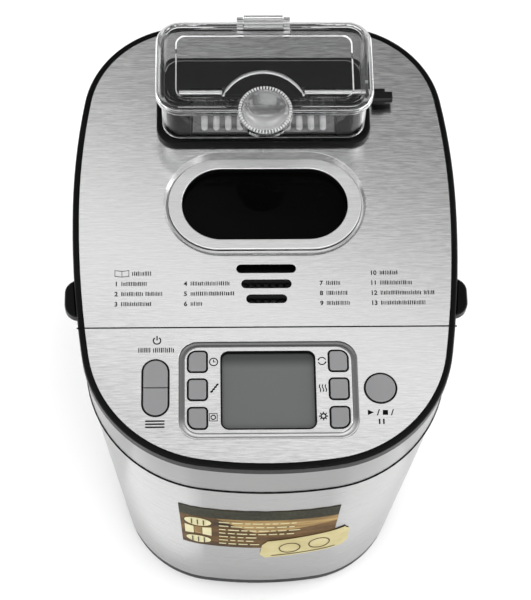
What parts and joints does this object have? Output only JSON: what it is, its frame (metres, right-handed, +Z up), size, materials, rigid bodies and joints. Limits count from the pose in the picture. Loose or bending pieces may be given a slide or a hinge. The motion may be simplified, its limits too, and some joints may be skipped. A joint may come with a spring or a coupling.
{
  "type": "bread machine",
  "caption": "Bread machine with an oval brushed steel top, a sloping silver body, a window in the lid, a display with keys in front and a clear ingredient dispenser at the back",
  "frame": {"origin": "centre of the footprint's bounding box, on the surface that the feet stand on", "axes": "+Z up; the control panel faces -Y and the lid hinges at the +Y end; +X is the user's right"},
  "size_m": [0.2536, 0.3266, 0.3398],
  "materials": {
    "black_plastic": "satin moulded black",
    "rubber": "matt",
    "brushed_steel": "fine horizontal brushing",
    "silver_paint": "satin silver",
    "polished_steel": "polished",
    "dark_glass": "dark tinted, glossy",
    "lcd_glass": "grey display behind a clear lens",
    "clear_plastic": "clear moulded plastic",
    "grey_plastic": "satin mid grey",
    "nonstick": "dark speckled non-stick coating",
    "galvanised_steel": "plain sheet metal",
    "heater_metal": "dark oxide sheath",
    "cast_aluminium": "as cast",
    "nylon": "natural white nylon",
    "circuit_board": "green solder mask",
    "motor_steel": "laminated steel"
  },
  "bodies": {
    "housing": {"base_pan": "black_plastic", "rubber_feet": "rubber", "body_shell": "silver_paint", "cord_inlet": "black_plastic", "upper_band": "silver_paint", "hinge_brackets": "black_plastic", "hinge_pins": "polished_steel", "control_housing": "black_plastic", "control_panel": "brushed_steel", "lcd_window": "lcd_glass", "lcd_module": "nylon", "control_board": "circuit_board", "top_deck": "black_plastic", "oven_chamber": "galvanised_steel", "heating_element": "heater_metal", "element_clips": "galvanised_steel", "temperature_sensor": "polished_steel", "pan_seat": "cast_aluminium", "bearing_housing": "cast_aluminium", "chamber_posts": "galvanised_steel", "base_screws": "galvanised_steel", "motor": "motor_steel", "motor_bracket": "galvanised_steel", "drive_belt": "rubber", "power_board": "circuit_board"},
    "lid": {"lid_plate": "brushed_steel", "lid_frame": "black_plastic", "lid_grips": "black_plastic", "window_bezel": "polished_steel", "window_glass": "dark_glass", "vent_grille": "black_plastic", "lid_liner": "galvanised_steel", "lid_seal": "rubber", "flap_solenoid": "nylon", "dispenser_frame": "black_plastic", "dispenser_bin": "clear_plastic", "dispenser_pin": "polished_steel"},
    "cover": {"dispenser_cover": "clear_plastic"},
    "flap": {"dispenser_flap": "grey_plastic", "flap_shaft": "polished_steel", "flap_lever": "black_plastic"},
    "drive": {"drive_shaft": "polished_steel", "drive_pulley": "nylon", "drive_dog": "cast_aluminium"},
    "rotor": {"motor_shaft": "polished_steel", "motor_pulley": "nylon"},
    "pan": {"bread_pan": "nonstick", "pan_foot": "cast_aluminium"},
    "bail": {"pan_handle": "polished_steel"},
    "paddle": {"pan_shaft": "cast_aluminium", "kneading_paddle": "nonstick"},
    "button_left_top_key": {"button_left_top": "grey_plastic"},
    "button_left_middle_key": {"button_left_middle": "grey_plastic"},
    "button_left_bottom_key": {"button_left_bottom": "grey_plastic"},
    "button_right_top_key": {"button_right_top": "grey_plastic"},
    "button_right_middle_key": {"button_right_middle": "grey_plastic"},
    "button_right_bottom_key": {"button_right_bottom": "grey_plastic"},
    "button_power_key": {"button_power": "grey_plastic"},
    "button_menu_key": {"button_menu": "grey_plastic"},
    "button_start_key": {"button_start": "grey_plastic"}
  },
  "joints": [
    {"name": "lid_hinge", "type": "hinge", "parent": "housing", "child": "lid", "pos_m": [0, 0.1599, 0.277], "axis": [-1, 0, 0], "range_deg": [0, 92]},
    {"name": "cover_hinge", "type": "hinge", "parent": "lid", "child": "cover", "pos_m": [0, 0.1319, 0.3316], "axis": [-1, 0, 0], "range_deg": [0, 100]},
    {"name": "flap_hinge", "type": "hinge", "parent": "lid", "child": "flap", "pos_m": [0, 0.0955, 0.3023], "axis": [1, 0, 0], "range_deg": [0, 70], "stiffness_Nm_per_rad": 0.02, "springref_deg": -14.32},
    {"name": "drive_spin", "type": "hinge", "parent": "housing", "child": "drive", "pos_m": [0, 0.0299, 0.06], "axis": [0, 0, 1], "continuous": true},
    {"name": "motor_spin", "type": "hinge", "parent": "housing", "child": "rotor", "pos_m": [0, -0.1001, 0.06], "axis": [0, 0, 1], "continuous": true},
    {"name": "pan_lift", "type": "slide", "parent": "housing", "child": "pan", "axis": [0, 0, 1], "range_m": [0, 0.018]},
    {"name": "bail_swing", "type": "hinge", "parent": "pan", "child": "bail", "pos_m": [0, 0.0299, 0.222], "axis": [-1, 0, 0], "range_deg": [0, 32]},
    {"name": "paddle_spin", "type": "hinge", "parent": "pan", "child": "paddle", "pos_m": [0, 0.0299, 0.11], "axis": [0, 0, 1], "continuous": true},
    {"name": "button_left_top_press", "type": "slide", "parent": "housing", "child": "button_left_top_key", "axis": [0, 0, -1], "range_m": [0, 0.001], "stiffness_N_per_m": 600, "springref_m": -0.0004},
    {"name": "button_left_middle_press", "type": "slide", "parent": "housing", "child": "button_left_middle_key", "axis": [0, 0, -1], "range_m": [0, 0.001], "stiffness_N_per_m": 600, "springref_m": -0.0004},
    {"name": "button_left_bottom_press", "type": "slide", "parent": "housing", "child": "button_left_bottom_key", "axis": [0, 0, -1], "range_m": [0, 0.001], "stiffness_N_per_m": 600, "springref_m": -0.0004},
    {"name": "button_right_top_press", "type": "slide", "parent": "housing", "child": "button_right_top_key", "axis": [0, 0, -1], "range_m": [0, 0.001], "stiffness_N_per_m": 600, "springref_m": -0.0004},
    {"name": "button_right_middle_press", "type": "slide", "parent": "housing", "child": "button_right_middle_key", "axis": [0, 0, -1], "range_m": [0, 0.001], "stiffness_N_per_m": 600, "springref_m": -0.0004},
    {"name": "button_right_bottom_press", "type": "slide", "parent": "housing", "child": "button_right_bottom_key", "axis": [0, 0, -1], "range_m": [0, 0.001], "stiffness_N_per_m": 600, "springref_m": -0.0004},
    {"name": "button_power_press", "type": "slide", "parent": "housing", "child": "button_power_key", "axis": [0, 0, -1], "range_m": [0, 0.001], "stiffness_N_per_m": 600, "springref_m": -0.0004},
    {"name": "button_menu_press", "type": "slide", "parent": "housing", "child": "button_menu_key", "axis": [0, 0, -1], "range_m": [0, 0.001], "stiffness_N_per_m": 600, "springref_m": -0.0004},
    {"name": "button_start_press", "type": "slide", "parent": "housing", "child": "button_start_key", "axis": [0, 0, -1], "range_m": [0, 0.001], "stiffness_N_per_m": 600, "springref_m": -0.0004}
  ],
  "couplings": [
    {"joint": "motor_spin", "follows": "drive_spin", "ratio": 5},
    {"joint": "paddle_spin", "follows": "drive_spin", "ratio": 1}
  ]
}
